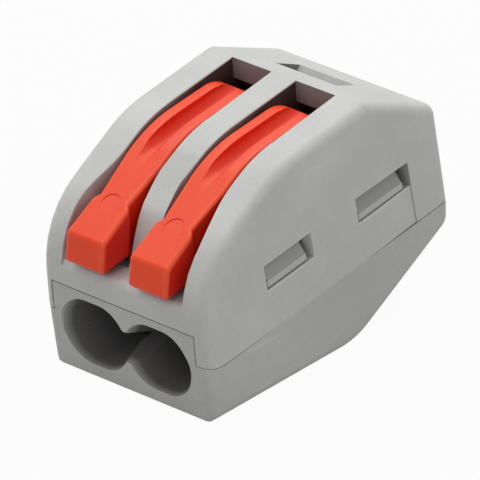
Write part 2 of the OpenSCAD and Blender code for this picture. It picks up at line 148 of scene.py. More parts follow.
class Graph:
    """A node tree that is wired up one node at a time."""

    def __init__(self, tree: NodeTree) -> None:
        """Starts on a tree that may hold nodes already."""
        self.tree = tree

    def add(
        self, kind: str, wired: dict[str | int, object] | None = None, **values: object
    ) -> Node:
        """Adds a node, sets its own settings and feeds its inputs.

        Args:
            kind: The node's type name.
            wired: Sockets, numbers or colours for its inputs, by name or place.
            values: Settings of the node, by attribute.

        Returns:
            The new node.
        """
        node = self.tree.nodes.new(kind)
        for name, value in values.items():
            setattr(node, name, value)
        for name, value in (wired or {}).items():
            self.feed(node.inputs[name], value)
        return node

    def find(self, kind: str) -> Node:
        """The node of a kind that the tree holds from the start."""
        return next(node for node in self.tree.nodes if node.type == kind)

    def where(self) -> Socket:
        """Adds the coordinates of the piece that wears the material."""
        return self.add("ShaderNodeTexCoord").outputs["Object"]

    def feed(self, target: Socket, source: object) -> None:
        """Links a socket to an input, or sets the input to a plain value.

        Args:
            target: The input.
            source: An output socket, a number or a colour.
        """
        if isinstance(source, Socket):
            self.tree.links.new(source, target)
        else:
            target.default_value = source

    def place(self, group: NodeTree, **wired: object) -> Node:
        """Places a node group and feeds its inputs by their names."""
        return self.add("ShaderNodeGroup", wired, node_tree=group)

    def math(self, operation: str, first: object, second: object) -> Socket:
        """Adds one step of arithmetic on two numbers or sockets."""
        return self.add("ShaderNodeMath", {0: first, 1: second}, operation=operation).outputs[0]

    def weigh(self, first: Socket, weight: float, second: Socket, other: float) -> Socket:
        """Adds up two values, each one times the weight behind it."""
        weighed = self.math("MULTIPLY", first, weight)
        return self.math("ADD", weighed, self.math("MULTIPLY", second, other))

    def noise(self, vector: Socket, scale: object, detail: float, roughness: float) -> Socket:
        """Adds a noise pattern, with its scale in cells to the metre."""
        wired = {"Vector": vector, "Scale": scale, "Detail": detail, "Roughness": roughness}
        return self.add("ShaderNodeTexNoise", wired).outputs[0]

    def spread(
        self, value: Socket, low: object, high: object, start: float = 0.0, end: float = 1.0
    ) -> Socket:
        """Maps the band from low to high onto the one from start to end, and clamps it."""
        wired = {"Value": value, "From Min": low, "From Max": high, "To Min": start, "To Max": end}
        return self.add("ShaderNodeMapRange", wired).outputs["Result"]

    def blend(self, share: Socket, under: object, over: object) -> Socket:
        """Mixes two colours, where the share says how much of the upper one shows."""
        wired = {0: share, 6: under, 7: over}  # by place, since names repeat in this node
        return self.add("ShaderNodeMix", wired, data_type="RGBA").outputs[2]

    def bump(self, height: Socket, strength: float, depth: float) -> Socket:
        """Turns a height into a normal, with a relief of some strength and depth."""
        wired = {"Strength": strength, "Distance": depth, "Height": height}
        return self.add("ShaderNodeBump", wired).outputs["Normal"]

    def seen(self) -> Socket:
        """Adds a mask of the rays that see a surface straight, reflected or through glass.

        Returns:
            The mask's socket.
        """
        path = self.add("ShaderNodeLightPath")
        camera, glossy = path.outputs["Is Camera Ray"], path.outputs["Is Glossy Ray"]
        straight = self.math("MAXIMUM", camera, glossy)
        return self.math("MAXIMUM", straight, path.outputs["Is Transmission Ray"])


class SurfaceEffects:
    """Shader node groups that the finishes share."""

    # Kinds of the groups' sockets, by name. Every other socket holds a number.
    KINDS = {
        "Vector": "NodeSocketVector",
        "Color": "NodeSocketColor",
        "Deep": "NodeSocketColor",
        "Pale": "NodeSocketColor",
    }
    # Fine grain and the wider swell under it: size of the swell, weights and band of the peaks.
    SWELL_CELLS = 0.16
    FINE_WEIGHT = 0.55
    SWELL_WEIGHT = 0.9
    PEAK_BAND = (0.42, 0.66)
    # Clouds of tone and the specks in them: size of the specks, weights and band.
    SPECK_CELLS = 14.0
    CLOUD_WEIGHT = 0.7
    SPECK_WEIGHT = 0.3
    CLOUD_BAND = (0.36, 0.64)
    # Turn and stretch of the two sets of scuffs, their band, and the patches that hold them.
    SCUFF_LAYS = ((0.5, 0.05), (-0.9, 0.07))
    SCUFF_TILT = 0.4
    SCUFF_SPIN = 0.3
    SCUFF_BAND = (0.66, 0.74)
    PATCH_CELLS = 0.08
    PATCH_BAND = (0.5, 0.66)

    def __init__(self) -> None:
        """Builds every group once."""
        self.grain = self.make_grain()
        self.drift = self.make_drift()
        self.marks = self.make_marks()
        self.shade = self.make_shade()

    def start(
        self, name: str, takes: tuple[str, ...], gives: tuple[str, ...]
    ) -> tuple[Graph, Node, Node]:
        """Opens a group with its sockets.

        Args:
            name: Name of the group.
            takes: Names of its inputs.
            gives: Names of its outputs.

        Returns:
            The graph, the node of its inputs and the node of its outputs.
        """
        tree = bpy.data.node_groups.new(name, "ShaderNodeTree")
        for way, words in (("INPUT", takes), ("OUTPUT", gives)):
            for word in words:
                kind = self.KINDS.get(word, "NodeSocketFloat")
                tree.interface.new_socket(word, in_out=way, socket_type=kind)
        graph = Graph(tree)
        return graph, graph.add("NodeGroupInput"), graph.add("NodeGroupOutput")

    def make_grain(self) -> NodeTree:
        """Builds the fine eroded texture that a mould leaves on plastic.

        Returns:
            The group, with a height and a mask of the grain's peaks.
        """
        takes, gives = ("Vector", "Cells"), ("Height", "Peaks")
        graph, inner, outer = self.start("moulded_grain", takes, gives)
        where, cells = inner.outputs["Vector"], inner.outputs["Cells"]
        fine = graph.noise(where, cells, detail=2.0, roughness=0.6)
        wide = graph.math("MULTIPLY", cells, self.SWELL_CELLS)
        swell = graph.noise(where, wide, detail=1.0, roughness=0.5)
        height = graph.weigh(fine, self.FINE_WEIGHT, swell, self.SWELL_WEIGHT)
        graph.feed(outer.inputs["Height"], height)
        graph.feed(outer.inputs["Peaks"], graph.spread(fine, *self.PEAK_BAND))
        return graph.tree

    def make_drift(self) -> NodeTree:
        """Builds the soft change of tone across a moulded or rolled surface.

        Returns:
            The group, with a colour.
        """
        takes = ("Vector", "Cells", "Deep", "Pale")
        graph, inner, outer = self.start("tone_drift", takes, ("Color",))
        where, cells = inner.outputs["Vector"], inner.outputs["Cells"]
        cloud = graph.noise(where, cells, detail=3.0, roughness=0.55)
        small = graph.math("MULTIPLY", cells, self.SPECK_CELLS)
        speck = graph.noise(where, small, detail=2.0, roughness=0.6)
        mixed = graph.weigh(cloud, self.CLOUD_WEIGHT, speck, self.SPECK_WEIGHT)
        share = graph.spread(mixed, *self.CLOUD_BAND)
        colour = graph.blend(share, inner.outputs["Deep"], inner.outputs["Pale"])
        graph.feed(outer.inputs["Color"], colour)
        return graph.tree

    def make_marks(self) -> NodeTree:
        """Builds the faint scuffs of handling, as short streaks in two directions.

        Returns:
            The group, with a mask of the scuffs.
        """
        graph, inner, outer = self.start("handling_marks", ("Vector", "Cells"), ("Scuff",))
        where, cells = inner.outputs["Vector"], inner.outputs["Cells"]
        streaks = []
        for turn, stretch in self.SCUFF_LAYS:
            spin = (turn, turn * self.SCUFF_TILT, self.SCUFF_SPIN)
            wired = {"Vector": where, "Rotation": spin, "Scale": (1.0, stretch, 1.0)}
            laid = graph.add("ShaderNodeMapping", wired).outputs["Vector"]
            lines = graph.noise(laid, cells, detail=1.0, roughness=0.5)
            streaks.append(graph.spread(lines, *self.SCUFF_BAND))
        patches = graph.math("MULTIPLY", cells, self.PATCH_CELLS)
        patch = graph.noise(where, patches, detail=2.0, roughness=0.5)
        both = graph.math("MAXIMUM", *streaks)
        scuff = graph.math("MULTIPLY", both, graph.spread(patch, *self.PATCH_BAND))
        graph.feed(outer.inputs["Scuff"], scuff)
        return graph.tree

    def make_shade(self) -> NodeTree:
        """Builds the mask of painted shade in deep recesses, which sets in behind the part's
        front.

        Returns:
            The group, with a mask of the painted shade.
        """
        takes = ("Vector", "Recess", "Open", "Closed", "Front", "Back")
        graph, inner, outer = self.start("painted_recess_shade", takes, ("Shade",))
        given = inner.outputs
        split = graph.add("ShaderNodeSeparateXYZ", {0: given["Vector"]})
        fade = graph.spread(split.outputs["Y"], given["Front"], given["Back"])
        deep = graph.spread(given["Recess"], given["Open"], given["Closed"])
        graph.feed(outer.inputs["Shade"], graph.math("MULTIPLY", deep, fade))
        return graph.tree


def open_material(name: str) -> tuple[Material, Graph, Node]:
    """Opens a material with its main shader.

    Args:
        name: Name of the material.

    Returns:
        The material, its graph and the main shader node.
    """
    material = bpy.data.materials.new(name)
    material.use_nodes = True
    graph = Graph(material.node_tree)
    return material, graph, graph.find("BSDF_PRINCIPLED")


@dataclass(frozen=True)
class MouldedPlastic:
    """Injection-moulded plastic: eroded grain, tone drift, wear and painted highlight on edges,
    painted shade.
    """

    name: str
    deep: Colour
    pale: Colour
    scuffed: Colour
    # Lighter colour of rounded edges, partly wear and partly painted highlight.
    worn_and_highlit: Colour
    # Colour of the painted shade in covered recesses.
    painted_shade_colour: Colour
    smoothest: float
    roughest: float
    gloss: float = 0.5
    # Band of cover share over which the painted shade sets in, and the band along y where it fades
    # in.
    shade_open: float = 0.3
    shade_closed: float = 0.75
    shade_front: float = -30 * MM
    shade_back: float = -29 * MM
    grain_cells: float = 9500.0
    grain_depth: float = 0.006 * MM
    grain_strength: float = 0.6
    drift_cells: float = 210.0
    scuff_cells: float = 2600.0
    scuff_share: float = 0.35
    scuff_dulling: float = 0.12
    # Share of that lighter edge colour, partly wear and partly painted highlight.
    wear_and_highlight_share: float = 0.35

    def material(self, effects: SurfaceEffects) -> Material:
        """Builds the plastic's material.

        Args:
            effects: Node groups that the finishes share.

        Returns:
            The material.
        """
        material, graph, shader = open_material(self.name)
        where = graph.where()
        grain = graph.place(effects.grain, Vector=where, Cells=self.grain_cells)
        marks = graph.place(effects.marks, Vector=where, Cells=self.scuff_cells)
        drift = graph.place(
            effects.drift, Vector=where, Cells=self.drift_cells, Deep=self.deep, Pale=self.pale
        )
        # Rounded edges get the lighter colour, partly wear and partly painted highlight.
        edge = graph.add("ShaderNodeAttribute", attribute_name=EDGE_WEAR_AND_HIGHLIGHT)
        # Faces that other parts cover get painted shade.
        recess = graph.add("ShaderNodeAttribute", attribute_name=PAINTED_SHADE)
        shade = graph.place(
            effects.shade, Vector=where, Recess=recess.outputs["Fac"], Open=self.shade_open,
            Closed=self.shade_closed, Front=self.shade_front, Back=self.shade_back,
        )
        scuff = graph.math("MULTIPLY", marks.outputs["Scuff"], self.scuff_share)
        wear_and_highlight = graph.math("MULTIPLY", edge.outputs["Fac"], self.wear_and_highlight_share)
        body = graph.blend(scuff, drift.outputs["Color"], self.scuffed)
        rubbed_and_highlit = graph.blend(wear_and_highlight, body, self.worn_and_highlit)
        # Painted shade over the covered faces.
        colour = graph.blend(shade.outputs["Shade"], rubbed_and_highlit, self.painted_shade_colour)
        graph.feed(shader.inputs["Base Color"], colour)
        shader.inputs["Specular IOR Level"].default_value = self.gloss
        rough = graph.spread(grain.outputs["Peaks"], 0.0, 1.0, self.roughest, self.smoothest)
        dulled = graph.math("ADD", rough, graph.math("MULTIPLY", scuff, self.scuff_dulling))
        graph.feed(shader.inputs["Roughness"], dulled)
        height = graph.math("SUBTRACT", grain.outputs["Height"], scuff)
        relief = graph.bump(height, self.grain_strength, self.grain_depth)
        graph.feed(shader.inputs["Normal"], relief)
        return material


@dataclass(frozen=True)
class SheetMetal:
    """Rolled strip with fine lines along its lay."""

    name: str
    deep: Colour
    pale: Colour
    smoothest: float
    roughest: float
    lay: Lay
    line_cells: float = 16000.0
    line_depth: float = 0.003 * MM
    line_strength: float = 0.5
    line_band: tuple[float, float] = (0.3, 0.7)
    drift_cells: float = 420.0

    def material(self, effects: SurfaceEffects) -> Material:
        """Builds the strip's material.

        Args:
            effects: Node groups that the finishes share.

        Returns:
            The material.
        """
        material, graph, shader = open_material(self.name)
        where = graph.where()
        shader.inputs["Metallic"].default_value = 1.0
        drift = graph.place(
            effects.drift, Vector=where, Cells=self.drift_cells, Deep=self.deep, Pale=self.pale
        )
        graph.feed(shader.inputs["Base Color"], drift.outputs["Color"])
        laid = graph.add("ShaderNodeMapping", {"Vector": where, "Scale": self.lay.value})
        lines = graph.noise(laid.outputs["Vector"], self.line_cells, detail=2.0, roughness=0.6)
        rough = graph.spread(lines, *self.line_band, self.smoothest, self.roughest)
        graph.feed(shader.inputs["Roughness"], rough)
        relief = graph.bump(lines, self.line_strength, self.line_depth)
        graph.feed(shader.inputs["Normal"], relief)
        return material


def select_only(piece: Piece) -> None:
    """Leaves one object selected and active.

    Args:
        piece: The object.
    """
    bpy.ops.object.select_all(action="DESELECT")
    piece.select_set(True)
    bpy.context.view_layer.objects.active = piece


def pick_none(pick: Pick) -> None:
    """Switches to one kind of element and deselects everything."""
    bpy.ops.mesh.select_mode(type=pick.value)
    bpy.ops.mesh.select_all(action="DESELECT")


@contextmanager
def editing(piece: Piece, pick: Pick) -> Iterator[None]:
    """Opens a piece in edit mode with nothing selected, and closes it again.

    Args:
        piece: The piece to edit.
        pick: Kind of element that is selected first.

    Yields:
        Nothing, while the piece is open.
    """
    select_only(piece)
    bpy.ops.object.mode_set(mode="EDIT")
    pick_none(pick)
    yield
    bpy.ops.object.mode_set(mode="OBJECT")


def pick_points(piece: Piece, chosen: Callable[[Vector], bool]) -> int:
    """Selects the points at the chosen places.

    Args:
        piece: The piece, open in edit mode.
        chosen: Says which places are selected.

    Returns:
        How many points are selected.
    """
    mesh = bmesh.from_edit_mesh(piece.data)
    for vert in mesh.verts:
        vert.select_set(chosen(vert.co))
    count = sum(vert.select for vert in mesh.verts)
    mesh.select_flush_mode()
    bmesh.update_edit_mesh(piece.data)
    return count


def pick_faces(piece: Piece, chosen: Callable[[Face], bool]) -> None:
    """Selects the chosen faces.

    Args:
        piece: The piece, open in edit mode.
        chosen: Says which faces are selected.
    """
    mesh = bmesh.from_edit_mesh(piece.data)
    for face in mesh.faces:
        if chosen(face):
            face.select_set(True)
    bmesh.update_edit_mesh(piece.data)


def merged_copy(node: str, name: str, shortest: float = SHORT_EDGE) -> Piece:
    """Copies a solid's mesh into a piece of its own with joined faces.

    Args:
        node: Name of the solid.
        name: Name of the new piece.
        shortest: Length under which an edge shrinks to a point.

    Returns:
        The piece, at the origin and riding on nothing yet.
    """
    select_only(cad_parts[node])
    bpy.ops.object.duplicate()
    piece = bpy.context.view_layer.objects.active
    piece.parent = None
    piece.matrix_world = Matrix.Identity(4)
    for key in list(piece.keys()):
        del piece[key]
    piece.name = name
    piece.data.name = name
    with editing(piece, Pick.POINTS):
        bpy.ops.mesh.select_all(action="SELECT")
        bpy.ops.mesh.customdata_custom_splitnormals_clear()
        bpy.ops.mesh.remove_doubles(threshold=SAME_POINT)
        bpy.ops.mesh.dissolve_degenerate(threshold=shortest)
        bpy.ops.mesh.dissolve_limited(angle_limit=FLAT_ANGLE)
    return piece


def middle_of(edge: Edge) -> Vector:
    """The middle of an edge."""
    return (edge.verts[0].co + edge.verts[1].co) / 2


def room_beside(face: Face, edge: Edge) -> tuple[float, Edge | None]:
    """Measures how far a face runs on from the middle of one of its edges.

    Args:
        face: The face.
        edge: One of its edges.

    Returns:
        The distance, square to the edge, to the face's other side, and the edge found there.
    """
    along = (edge.verts[1].co - edge.verts[0].co).normalized()
    middle = middle_of(edge)
    loop = next(item for item in face.loops if item.edge == edge)
    inward = face.normal.cross(along) * (1 if loop.vert == edge.verts[0] else -1)
    nearest, across = math.inf, None
    for side in face.edges:
        if side == edge:
            continue
        ends = [vert.co - middle for vert in side.verts]
        first, second = (end.dot(along) for end in ends)
        if (first > 0) == (second > 0):
            continue
        share = first / (first - second)
        reach = (ends[0].lerp(ends[1], share)).dot(inward)
        if NO_DISTANCE < reach < nearest:
            nearest, across = reach, side
    return nearest, across


def round_edges(piece: Piece, width: float, chosen: EdgeTest) -> int:
    """Rounds the chosen edges of a piece and marks the new faces for a lighter colour, partly wear
    and partly painted highlight.

    An edge beside a face too narrow for the rounding is left as it is.

    Args:
        piece: The piece to work on.
        width: Width of the rounding.
        chosen: Says which edges are rounded.

    Returns:
        How many edges were rounded.
    """
    with editing(piece, Pick.EDGES):
        mesh = bmesh.from_edit_mesh(piece.data)
        if mesh.faces.layers.float.get(EDGE_WEAR_AND_HIGHLIGHT) is None:
            mesh.faces.layers.float.new(EDGE_WEAR_AND_HIGHLIGHT)
        wanted = {edge for edge in mesh.edges if chosen(edge)}

        def has_room(edge: Edge) -> bool:
            """True when both faces of an edge are wide enough for the rounding."""
            beside = [room_beside(face, edge) for face in edge.link_faces]
            return all(
                room > width * (ROOM_SHARED if across in wanted else ROOM_ALONE)
                for room, across in beside
            )

        edges = [edge for edge in mesh.edges if edge in wanted and has_room(edge)]
        for edge in edges:
            edge.select_set(True)
        bmesh.update_edit_mesh(piece.data)
        if edges:
            bpy.ops.mesh.bevel(
                offset=width, segments=ROUND_STEPS, profile=0.5, affect="EDGES",
                clamp_overlap=False, loop_slide=False,
            )
            mesh = bmesh.from_edit_mesh(piece.data)
            layer = mesh.faces.layers.float[EDGE_WEAR_AND_HIGHLIGHT]
            for face in mesh.faces:
                if face.select:
                    face[layer] = 1.0
            bmesh.update_edit_mesh(piece.data)
    return len(edges)


def smooth_by_angle(piece: Piece, angle: float) -> None:
    """Shades a piece smooth up to an angle and lets its large faces stay flat.

    Args:
        piece: The piece to shade.
        angle: Largest angle between faces that still looks smooth.
    """
    select_only(piece)
    bpy.ops.object.shade_smooth_by_angle(angle=angle)
    modifier = piece.modifiers.new("flat_faces", "WEIGHTED_NORMAL")
    modifier.keep_sharp = True
    bpy.ops.object.modifier_apply(modifier=modifier.name)


def dress(piece: Piece, material: Material) -> None:
    """Gives a piece its one material."""
    piece.data.materials.clear()
    piece.data.materials.append(material)


def looking_out(piece: Piece) -> EdgeTest:
    """Makes the test for sharp outer edges that nothing of the piece covers.

    Args:
        piece: The piece that the edges belong to.

    Returns:
        The test.
    """
    shape = bmesh.new()
    shape.from_mesh(piece.data)
    tree = BVHTree.FromBMesh(shape)
    shape.free()

    def test(edge: Edge) -> bool:
        """True for a sharp convex edge with free space in front of it.

        Args:
            edge: An edge of the piece.

        Returns:
            Whether the edge looks out.
        """
        if len(edge.link_faces) != 2 or not edge.is_convex:
            return False
        if edge.calc_face_angle(0.0) < CORNER_ANGLE:
            return False
        ahead = (edge.link_faces[0].normal + edge.link_faces[1].normal).normalized()
        start = middle_of(edge) + ahead * OFF_EDGE
        return tree.ray_cast(start, ahead, EDGE_REACH)[0] is None

    return test


def fan_of_rays(count: int) -> list[Vector]:
    """Makes rays that fan out evenly over the half space above a flat face.

    Args:
        count: How many rays are made.

    Returns:
        The rays' directions, around +Z.
    """
    fan = []
    for step in range(count):
        height = math.sqrt(1 - (step + 0.5) / count)
        turn = step * math.pi * (3 - math.sqrt(5))
        out = math.sqrt(1 - height * height)
        fan.append(Vector((out * math.cos(turn), out * math.sin(turn), height)))
    return fan


def mark_painted_shade(pieces: list[Piece], around: list[Piece]) -> None:
    """Notes on every face how much of the open space before it is covered, as the mark for painted
    shade.

    Args:
        pieces: The pieces to mark.
        around: The pieces that cover them.
    """
    points: list[Vector] = []
    sides: list[list[int]] = []
    for piece in around:
        start = len(points)
        points.extend(vert.co.copy() for vert in piece.data.vertices)
        sides.extend([start + p for p in side.vertices] for side in piece.data.polygons)
    tree = BVHTree.FromPolygons(points, sides)
    fan = fan_of_rays(FAN_RAYS)
    for piece in pieces:
        mesh = piece.data
        mesh.calc_loop_triangles()
        covered = [0.0] * len(mesh.polygons)
        areas = [0.0] * len(mesh.polygons)
        for part in mesh.loop_triangles:
            lift = part.normal.to_track_quat("Z", "Y")
            centre = sum((mesh.vertices[p].co for p in part.vertices), Vector()) / 3
            spot = centre + part.normal * OFF_FACE
            hits = sum(tree.ray_cast(spot, lift @ r, FACE_REACH)[0] is not None for r in fan)
            covered[part.polygon_index] += part.area * hits / len(fan)
            areas[part.polygon_index] += part.area
        marks = mesh.attributes.new(PAINTED_SHADE, "FLOAT", "FACE")
        shares = [c / a if a else 0.0 for c, a in zip(covered, areas)]
        marks.data.foreach_set("value", shares)


@dataclass
class Housing:
    """Cover and base, which meet at a slanted parting line.

    Places are given in the frame of the solids: x across, y to the rear and z up.
    """

    effects: SurfaceEffects
    finish_cover: MouldedPlastic
    finish_base: MouldedPlastic
    # Outer form, and the parting plane at the front face.
    depth_middle: float = 10.145 * MM
    half_width: float = 6.345 * MM
    part_height: float = 3.15 * MM
    part_slope: float = math.radians(7.4)
    skirt: float = 0.76 * MM
    block_height: float = 5.59 * MM
    block_top_slack: float = 0.02 * MM
    upward: float = 0.9
    # Rounding of the rims, and the edges that shrink to points beforehand.
    cover_rim: float = 0.1 * MM
    base_rim: float = 0.075 * MM
    cover_shortest: float = SHORT_EDGE
    base_shortest: float = 0.01 * MM
    # Seam: its rounding near both ends, and the stretch of the sides where it is shut.
    seam_width: float = 0.022 * MM
    seam_gap: float = 0.03 * MM
    seam_front: float = -6.0 * MM
    seam_rear: float = 7.0 * MM
    seam_fade: float = -5.0 * MM
    seam_shut: float = 3.5 * MM
    seam_near: float = 0.13 * MM
    notch_depth: float = 2.0 * MM
    notch_curl: float = 0.9 * MM
    cut_slack: float = 0.001 * MM
    # Inner end of the side windows, and the room that holds both wire mouths.
    window_inside: float = 4.4 * MM
    mouth_half: float = 5.1 * MM
    mouth_low: float = 0.5 * MM
    mouth_high: float = 5.4 * MM
    # Foot of the apron's rounding, and its step behind the front.
    apron_foot_y: float = -10.045 * MM
    apron_foot_z: float = 6.82 * MM
    apron_step: float = 0.056 * MM
    # Middle rib: the room that holds its nose, its full half width, and how it falls.
    nose_half: float = 0.88 * MM
    nose_rear: float = -5.0 * MM
    nose_low: float = 7.0 * MM
    nose_high: float = 12.4 * MM
    nose_foot: float = 7.3 * MM
    nose_fall: float = 0.72
    nose_margin: float = 0.1 * MM
    rib_half: float = 1.0 * MM
    # Start of the nose, where short edges are joined.
    start_half: float = 0.7 * MM
    start_front: float = -7.9 * MM
    start_rear: float = -7.1 * MM
    start_low: float = 10.0 * MM
    start_join: float = 0.16 * MM
    # Slope behind the crest, and the pocket in it: its room, skin, shelf and walls.
    crest_y: float = 4.479 * MM
    crest_z: float = 14.532 * MM
    facet_slope: float = math.radians(23.68)
    pocket_half: float = 2.6 * MM
    pocket_front: float = 5.4 * MM
    pocket_rear: float = 8.0 * MM
    pocket_low: float = 12.9 * MM
    pocket_skin: float = 0.02 * MM
    pocket_shelf: float = 0.5 * MM
    pocket_steps: tuple[tuple[float, float], ...] = (
        (-0.33 * MM, -0.264 * MM),
        (0.0, -0.60 * MM),
    )

    def in_pocket(self, spot: Vector) -> bool:
        """True for a place in or on the rim of the pocket behind the crest."""
        along = self.pocket_front < spot.y < self.pocket_rear
        return abs(spot.x) < self.pocket_half and along and spot.z > self.pocket_low

    def below_facet(self, spot: Vector) -> float:
        """How far a place lies under the slope behind the crest."""
        return self.crest_z - (spot.y - self.crest_y) * math.tan(self.facet_slope) - spot.z

    def parting(self, y: float) -> float:
        """Height of the parting plane at a place along the housing."""
        return self.part_height + (y + self.depth_middle) * math.tan(self.part_slope)

    def clear_painted_shade(self, piece: Piece) -> None:
        """Clears the painted shade marks of the pocket's upper walls and of the side windows.

        Light reaches both well.

        Args:
            piece: The cover, with its painted shade marked.
        """
        mesh = piece.data
        marks = mesh.attributes[PAINTED_SHADE].data
        for face in mesh.polygons:
            spots = [mesh.vertices[place].co for place in face.vertices]
            deepest = max(self.below_facet(spot) for spot in spots)
            shallow = self.pocket_skin < deepest < self.pocket_shelf
            upper = shallow and all(self.in_pocket(spot) for spot in spots)
            if upper or all(abs(spot.x) > self.window_inside for spot in spots):
                marks[face.index].value = 0.0

    def clear_block(self, piece: Piece) -> None:
        """Clears the painted shade mark of the front block's top, which shows under the levers.

        Args:
            piece: The base, with its painted shade marked.
        """
        marks = piece.data.attributes[PAINTED_SHADE].data
        for face in piece.data.polygons:
            level = abs(face.center.z - self.block_height) < self.block_top_slack
            if level and face.normal.z > self.upward:
                marks[face.index].value = 0.0

    def sink_pocket(self, piece: Piece) -> None:
        """Deepens the cover's shallow pocket into one with a steep rear wall.

        Args:
            piece: The cover.
        """
        def of_pocket(face: Face) -> bool:
            """True for a face of the pocket under the slope."""
            sunk = any(self.below_facet(vert.co) > self.pocket_skin for vert in face.verts)
            return sunk and all(self.in_pocket(vert.co) for vert in face.verts)

        with editing(piece, Pick.FACES):
            pick_faces(piece, of_pocket)
            bpy.ops.mesh.delete(type="FACE")
            pick_none(Pick.EDGES)
            bpy.ops.mesh.select_non_manifold()
            for back, down in self.pocket_steps:
                move = {"value": (0, back, down)}
                bpy.ops.mesh.extrude_region_move(TRANSFORM_OT_translate=move)
            bpy.ops.mesh.edge_face_add()
            bpy.ops.mesh.select_all(action="SELECT")
            bpy.ops.mesh.normals_make_consistent(inside=False)

    def join_nose(self, piece: Piece) -> None:
        """Joins the short edges at the start of the middle rib's nose.

        Args:
            piece: The cover.
        """
        def at_start(spot: Vector) -> bool:
            """True for a place at the start of the nose."""
            along = self.start_front < spot.y < self.start_rear
            return abs(spot.x) < self.start_half and along and spot.z > self.start_low

        with editing(piece, Pick.POINTS):
            pick_points(piece, at_start)
            bpy.ops.mesh.dissolve_degenerate(threshold=self.start_join)

    def widen_nose(self, piece: Piece) -> None:
        """Gives the middle rib its full width up to the nose, which moves back as it widens.

        Args:
            piece: The cover.
        """
        with editing(piece, Pick.POINTS):
            mesh = bmesh.from_edit_mesh(piece.data)
            for vert in list(mesh.verts):
                spot = vert.co
                short = self.nose_half - abs(spot.x)
                tall = self.nose_low <= spot.z <= self.nose_high
                if short <= 0 or spot.y > self.nose_rear or not tall:
                    continue
                bpy.ops.mesh.select_all(action="DESELECT")
                vert.select_set(True)
                fall = -self.nose_fall * short if spot.z > self.nose_foot else 0.0
                move = (math.copysign(short, spot.x), short, fall)
                bpy.ops.transform.translate(value=move)

    def flush_apron(self, piece: Piece) -> None:
        """Brings the foot of the apron's rounding level with the front, so that no step shows.

        Args:
            piece: The cover.
        """
        def at_foot(spot: Vector) -> bool:
            """True for a place on the foot of the rounding."""
            level = abs(spot.z - self.apron_foot_z) < SAME_PLACE
            return level and abs(spot.y - self.apron_foot_y) < SAME_PLACE

        with editing(piece, Pick.POINTS):
            pick_points(piece, at_foot)
            bpy.ops.transform.translate(value=(0, -self.apron_step, 0))
            bpy.ops.mesh.select_all(action="SELECT")
            bpy.ops.mesh.remove_doubles(threshold=SAME_POINT)

    def on_side_seam(self, spot: Vector) -> bool:
        """True for a place on the cover's lower edge along the sides."""
        level = abs(spot.z - self.parting(spot.y) - self.seam_gap) < SAME_PLACE
        return level and abs(spot.x) > self.half_width - SAME_PLACE

    def close_seam(self, piece: Piece) -> None:
        """Shuts the seam along the middle of the sides, where the mouldings press together.

        Args:
            piece: The cover.
        """
        def beside_seam(face: Face) -> bool:
            """True for a face with an edge along the seam of a side."""
            return sum(self.on_side_seam(vert.co) for vert in face.verts) > 1

        def shut(spot: Vector) -> bool:
            """True for a place on the stretch of the seam that is shut."""
            inside = self.seam_fade - self.seam_near < spot.y < self.seam_shut
            return inside and self.on_side_seam(spot)

        with editing(piece, Pick.FACES):
            pick_faces(piece, beside_seam)
            bpy.ops.mesh.bisect(
                plane_co=(0, self.seam_fade, 0), plane_no=(0, 1, 0), threshold=self.cut_slack
            )
            pick_none(Pick.POINTS)
            count = pick_points(piece, shut)
            bpy.ops.transform.translate(value=(0, 0, -self.seam_gap))
        log.info("%s: %d seam places shut", piece.name, count)

    def on_seam(self, edge: Edge) -> bool:
        """True for an edge that lies along the line where cover and base meet.

        Args:
            edge: An edge of the cover or the base.

        Returns:
            Whether the edge lies on the parting plane or on the notch round the front block.
        """
        middle = middle_of(edge)
        plane = self.parting(middle.y)
        if abs(middle.z - plane) < self.seam_near:
            return True
        beside = abs(abs(middle.x) - (self.half_width - self.skirt)) < self.seam_near
        above = abs(middle.z - self.block_height) < self.seam_near
        low = middle.z < plane + self.notch_curl
        in_notch = middle.y + self.depth_middle < self.notch_depth
        return in_notch and middle.z > self.part_height and (beside or above or low)

    def on_rim(self, edge: Edge) -> bool:
        """True for an edge clear of the pocket, the wire mouths and the middle rib's nose.

        Args:
            edge: An edge of the cover or the base.

        Returns:
            Whether the edge may be rounded as a rim.
        """
        spot = middle_of(edge)
        across = abs(spot.x)
        tall = self.mouth_low < spot.z < self.mouth_high
        mouth = across < self.mouth_half and tall and spot.y < 0
        before = spot.y < self.nose_rear + self.nose_margin
        nose = across < self.rib_half and before and spot.z > self.nose_low - self.nose_margin
        return not mouth and not nose and not self.in_pocket(spot)

    def at_ends(self, edge: Edge) -> bool:
        """True for an edge near the front or the rear of the housing."""
        middle = middle_of(edge)
        return middle.y < self.seam_front or middle.y > self.seam_rear

    def build(
        self, node: str, finish: MouldedPlastic, rim: float, shortest: float
    ) -> Piece:
        """Makes one half of the housing with rounded rims and a fine seam.

        Args:
            node: Name of the solid.
            finish: Its plastic.
            rim: Width of the rounding of its rims.
            shortest: Length under which an edge shrinks to a point.

        Returns:
            The finished piece.
        """
        piece = merged_copy(node, f"{node}_moulding", shortest)
        if node == "cover":
            self.sink_pocket(piece)
            self.join_nose(piece)
            self.widen_nose(piece)
            self.flush_apron(piece)
            self.close_seam(piece)
        out = looking_out(piece)
        rims = round_edges(
            piece, rim, lambda e: out(e) and self.on_rim(e) and not self.on_seam(e)
        )
        seams = round_edges(
            piece, self.seam_width, lambda e: out(e) and self.on_seam(e) and self.at_ends(e)
        )
        smooth_by_angle(piece, CORNER_ANGLE)
        dress(piece, finish.material(self.effects))
        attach(piece, "housing")
        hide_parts(node)
        log.info("%s: %d rim edges and %d seam edges rounded", piece.name, rims, seams)
        return piece

    def make(self) -> list[Piece]:
        """Builds both halves.

        Returns:
            The cover and the base.
        """
        cover = self.build(
            "cover", self.finish_cover, self.cover_rim, self.cover_shortest
        )
        base = self.build("base", self.finish_base, self.base_rim, self.base_shortest)
        return [cover, base]


